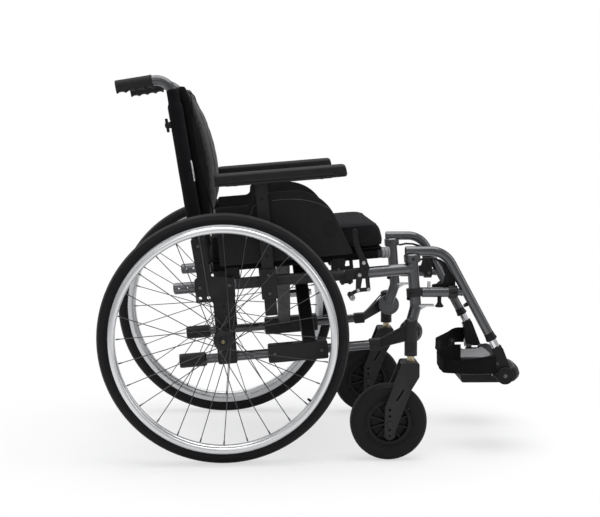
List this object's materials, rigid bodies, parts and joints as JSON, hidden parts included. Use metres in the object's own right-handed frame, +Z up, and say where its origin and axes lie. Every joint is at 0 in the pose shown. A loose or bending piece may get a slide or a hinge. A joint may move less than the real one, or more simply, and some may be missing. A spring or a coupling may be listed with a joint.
{
  "type": "wheelchair",
  "caption": "Folding self-propelled wheelchair with push rims, castors, flip-up footplates, padded armrests, side guards and black padded seat and back.",
  "frame": {"origin": "on the floor under the middle of the overall length and width", "axes": "+X forward, the way the rider faces; +Y to the rider's left; +Z up"},
  "size_m": [1.062, 0.682, 0.9405],
  "materials": {
    "frame_paint": "anthracite metallic paint",
    "black_metal": "satin black powder coat",
    "black_plastic": "fine-textured black",
    "soft_plastic": "soft integral foam skin",
    "silver": "satin anodised",
    "chrome": "polished",
    "brass": "dull",
    "tyre": "matt with blocks",
    "grip_rubber": "soft matt",
    "fabric": "woven nylon",
    "upholstery": "padded fabric"
  },
  "bodies": {
    "right_frame": {"side_frame_right": "frame_paint", "lower_tube_right": "frame_paint", "axle_bracket_right": "black_metal", "back_post_right": "black_metal", "brake_mount_right": "black_metal", "castor_bracket_right": "black_metal", "back_sling": "fabric", "back_cushion": "upholstery"},
    "cross_a": {"cross_arm_a": "black_metal", "seat_sling": "fabric", "seat_cushion": "upholstery"},
    "cross_b": {"cross_arm_b": "frame_paint"},
    "left_frame": {"side_frame_left": "frame_paint", "lower_tube_left": "frame_paint", "axle_bracket_left": "black_metal", "back_post_left": "black_metal", "brake_mount_left": "black_metal", "castor_bracket_left": "black_metal"},
    "rear_wheel_right": {"rear_tyre_right": "tyre", "rear_rim_right": "silver", "handrim_right": "silver", "rear_hub_right": "black_metal"},
    "release_button_right": {"axle_button_right": "brass"},
    "castor_swivel_right": {"castor_fork_right": "black_metal"},
    "castor_wheel_right": {"castor_hub_right": "black_plastic", "castor_tyre_right": "tyre"},
    "brake_handle_right": {"brake_lever_right": "black_plastic"},
    "brake_arm_right": {"brake_shoe_right": "black_metal"},
    "armrest_right": {"armrest_frame_right": "black_metal", "arm_pad_right": "soft_plastic", "side_guard_right": "black_plastic"},
    "pusher_right": {"push_handle_right": "frame_paint", "grip_right": "grip_rubber"},
    "clamp_right": {"clamp_knob_right": "black_plastic"},
    "leg_support_right": {"hanger_right": "frame_paint"},
    "release_latch_right": {"hanger_latch_right": "black_plastic"},
    "leg_extension_right": {"extension_right": "chrome"},
    "foot_tray_right": {"footplate_right": "black_plastic", "heel_strap_right": "fabric"},
    "rear_wheel_left": {"rear_tyre_left": "tyre", "rear_rim_left": "silver", "handrim_left": "silver", "rear_hub_left": "black_metal"},
    "release_button_left": {"axle_button_left": "brass"},
    "castor_swivel_left": {"castor_fork_left": "black_metal"},
    "castor_wheel_left": {"castor_hub_left": "black_plastic", "castor_tyre_left": "tyre"},
    "brake_handle_left": {"brake_lever_left": "black_plastic"},
    "brake_arm_left": {"brake_shoe_left": "black_metal"},
    "armrest_left": {"armrest_frame_left": "black_metal", "arm_pad_left": "soft_plastic", "side_guard_left": "black_plastic"},
    "pusher_left": {"push_handle_left": "frame_paint", "grip_left": "grip_rubber"},
    "clamp_left": {"clamp_knob_left": "black_plastic"},
    "leg_support_left": {"hanger_left": "frame_paint"},
    "release_latch_left": {"hanger_latch_left": "black_plastic"},
    "leg_extension_left": {"extension_left": "chrome"},
    "foot_tray_left": {"footplate_left": "black_plastic", "heel_strap_left": "fabric"}
  },
  "joints": [
    {"name": "fold", "type": "hinge", "parent": "right_frame", "child": "cross_a", "pos_m": [-0.01169, -0.222, 0.26444], "axis": [0.9968, 0, 0.0802], "range_deg": [0, 50], "deforming": ["seat_sling", "seat_cushion", "back_sling", "back_cushion"]},
    {"name": "fold_b", "type": "hinge", "parent": "cross_a", "child": "cross_b", "pos_m": [-0.07074, 0, 0.37489], "axis": [0.9968, 0, 0.0802], "range_deg": [-100, 0]},
    {"name": "fold_c", "type": "hinge", "parent": "cross_b", "child": "left_frame", "pos_m": [-0.06153, 0.222, 0.26043], "axis": [0.9968, 0, 0.0802], "range_deg": [0, 50]},
    {"name": "wheel_spin_right", "type": "hinge", "parent": "right_frame", "child": "rear_wheel_right", "pos_m": [-0.226, -0.297, 0.305], "axis": [0, 1, 0], "continuous": true},
    {"name": "button_press_right", "type": "slide", "parent": "rear_wheel_right", "child": "release_button_right", "axis": [0, 1, 0], "range_m": [0, 0.004], "stiffness_N_per_m": 400},
    {"name": "castor_turn_right", "type": "hinge", "parent": "right_frame", "child": "castor_swivel_right", "pos_m": [0.2315, -0.274, 0.2445], "axis": [0, 0, 1], "continuous": true},
    {"name": "castor_roll_right", "type": "hinge", "parent": "castor_swivel_right", "child": "castor_wheel_right", "pos_m": [0.1775, -0.274, 0.0947], "axis": [0, 1, 0], "continuous": true},
    {"name": "brake_pull_right", "type": "hinge", "parent": "right_frame", "child": "brake_handle_right", "pos_m": [0.11735, -0.2446, 0.4836], "axis": [0, 1, 0], "range_deg": [0, 50]},
    {"name": "brake_press_right", "type": "hinge", "parent": "right_frame", "child": "brake_arm_right", "pos_m": [0.10715, -0.2446, 0.45318], "axis": [0, 1, 0], "range_deg": [0, 25]},
    {"name": "armrest_lift_right", "type": "slide", "parent": "right_frame", "child": "armrest_right", "axis": [-0.0802, 0, 0.9968], "range_m": [0, 0.11]},
    {"name": "handle_height_right", "type": "slide", "parent": "right_frame", "child": "pusher_right", "axis": [-0.1599, 0, 0.9871], "range_m": [0, 0.1]},
    {"name": "clamp_turn_right", "type": "hinge", "parent": "right_frame", "child": "clamp_right", "pos_m": [-0.34936, -0.2205, 0.8192], "axis": [-0.9871, 0, -0.1599], "range_deg": [0, 180]},
    {"name": "hanger_swing_right", "type": "hinge", "parent": "right_frame", "child": "leg_support_right", "pos_m": [0.24674, -0.222, 0.40663], "axis": [0.0802, 0, -0.9968], "range_deg": [0, 90]},
    {"name": "latch_pull_right", "type": "hinge", "parent": "leg_support_right", "child": "release_latch_right", "pos_m": [0.342, -0.2055, 0.4065], "axis": [0, -1, 0], "range_deg": [0, 15], "stiffness_Nm_per_rad": 0.6},
    {"name": "leg_length_right", "type": "slide", "parent": "leg_support_right", "child": "leg_extension_right", "axis": [0.4772, 0, -0.8788], "range_m": [0, 0.1]},
    {"name": "tray_flip_right", "type": "hinge", "parent": "leg_extension_right", "child": "foot_tray_right", "pos_m": [0.4723, -0.1975, 0.195], "axis": [1, 0, 0], "range_deg": [0, 90], "deforming": ["heel_strap_right"]},
    {"name": "wheel_spin_left", "type": "hinge", "parent": "left_frame", "child": "rear_wheel_left", "pos_m": [-0.226, 0.297, 0.305], "axis": [0, 1, 0], "continuous": true},
    {"name": "button_press_left", "type": "slide", "parent": "rear_wheel_left", "child": "release_button_left", "axis": [0, -1, 0], "range_m": [0, 0.004], "stiffness_N_per_m": 400},
    {"name": "castor_turn_left", "type": "hinge", "parent": "left_frame", "child": "castor_swivel_left", "pos_m": [0.2315, 0.274, 0.2445], "axis": [0, 0, 1], "continuous": true},
    {"name": "castor_roll_left", "type": "hinge", "parent": "castor_swivel_left", "child": "castor_wheel_left", "pos_m": [0.1775, 0.274, 0.0947], "axis": [0, 1, 0], "continuous": true},
    {"name": "brake_pull_left", "type": "hinge", "parent": "left_frame", "child": "brake_handle_left", "pos_m": [0.11735, 0.2446, 0.4836], "axis": [0, 1, 0], "range_deg": [0, 50]},
    {"name": "brake_press_left", "type": "hinge", "parent": "left_frame", "child": "brake_arm_left", "pos_m": [0.10715, 0.2446, 0.45318], "axis": [0, 1, 0], "range_deg": [0, 25]},
    {"name": "armrest_lift_left", "type": "slide", "parent": "left_frame", "child": "armrest_left", "axis": [-0.0802, 0, 0.9968], "range_m": [0, 0.11]},
    {"name": "handle_height_left", "type": "slide", "parent": "left_frame", "child": "pusher_left", "axis": [-0.1599, 0, 0.9871], "range_m": [0, 0.1]},
    {"name": "clamp_turn_left", "type": "hinge", "parent": "left_frame", "child": "clamp_left", "pos_m": [-0.34936, 0.2205, 0.8192], "axis": [-0.9871, 0, -0.1599], "range_deg": [0, 180]},
    {"name": "hanger_swing_left", "type": "hinge", "parent": "left_frame", "child": "leg_support_left", "pos_m": [0.24674, 0.222, 0.40663], "axis": [-0.0802, 0, 0.9968], "range_deg": [0, 90]},
    {"name": "latch_pull_left", "type": "hinge", "parent": "leg_support_left", "child": "release_latch_left", "pos_m": [0.342, 0.2055, 0.4065], "axis": [0, -1, 0], "range_deg": [0, 15], "stiffness_Nm_per_rad": 0.6},
    {"name": "leg_length_left", "type": "slide", "parent": "leg_support_left", "child": "leg_extension_left", "axis": [0.4772, 0, -0.8788], "range_m": [0, 0.1]},
    {"name": "tray_flip_left", "type": "hinge", "parent": "leg_extension_left", "child": "foot_tray_left", "pos_m": [0.4723, 0.1975, 0.195], "axis": [-1, 0, 0], "range_deg": [0, 90], "deforming": ["heel_strap_left"]}
  ],
  "couplings": [
    {"joint": "fold_b", "follows": "fold", "ratio": -2},
    {"joint": "fold_c", "follows": "fold", "ratio": 1},
    {"joint": "brake_press_right", "follows": "brake_pull_right", "ratio": 0.5},
    {"joint": "tray_flip_right", "follows": "fold", "ratio": 1.8},
    {"joint": "brake_press_left", "follows": "brake_pull_left", "ratio": 0.5},
    {"joint": "tray_flip_left", "follows": "fold", "ratio": 1.8}
  ]
}
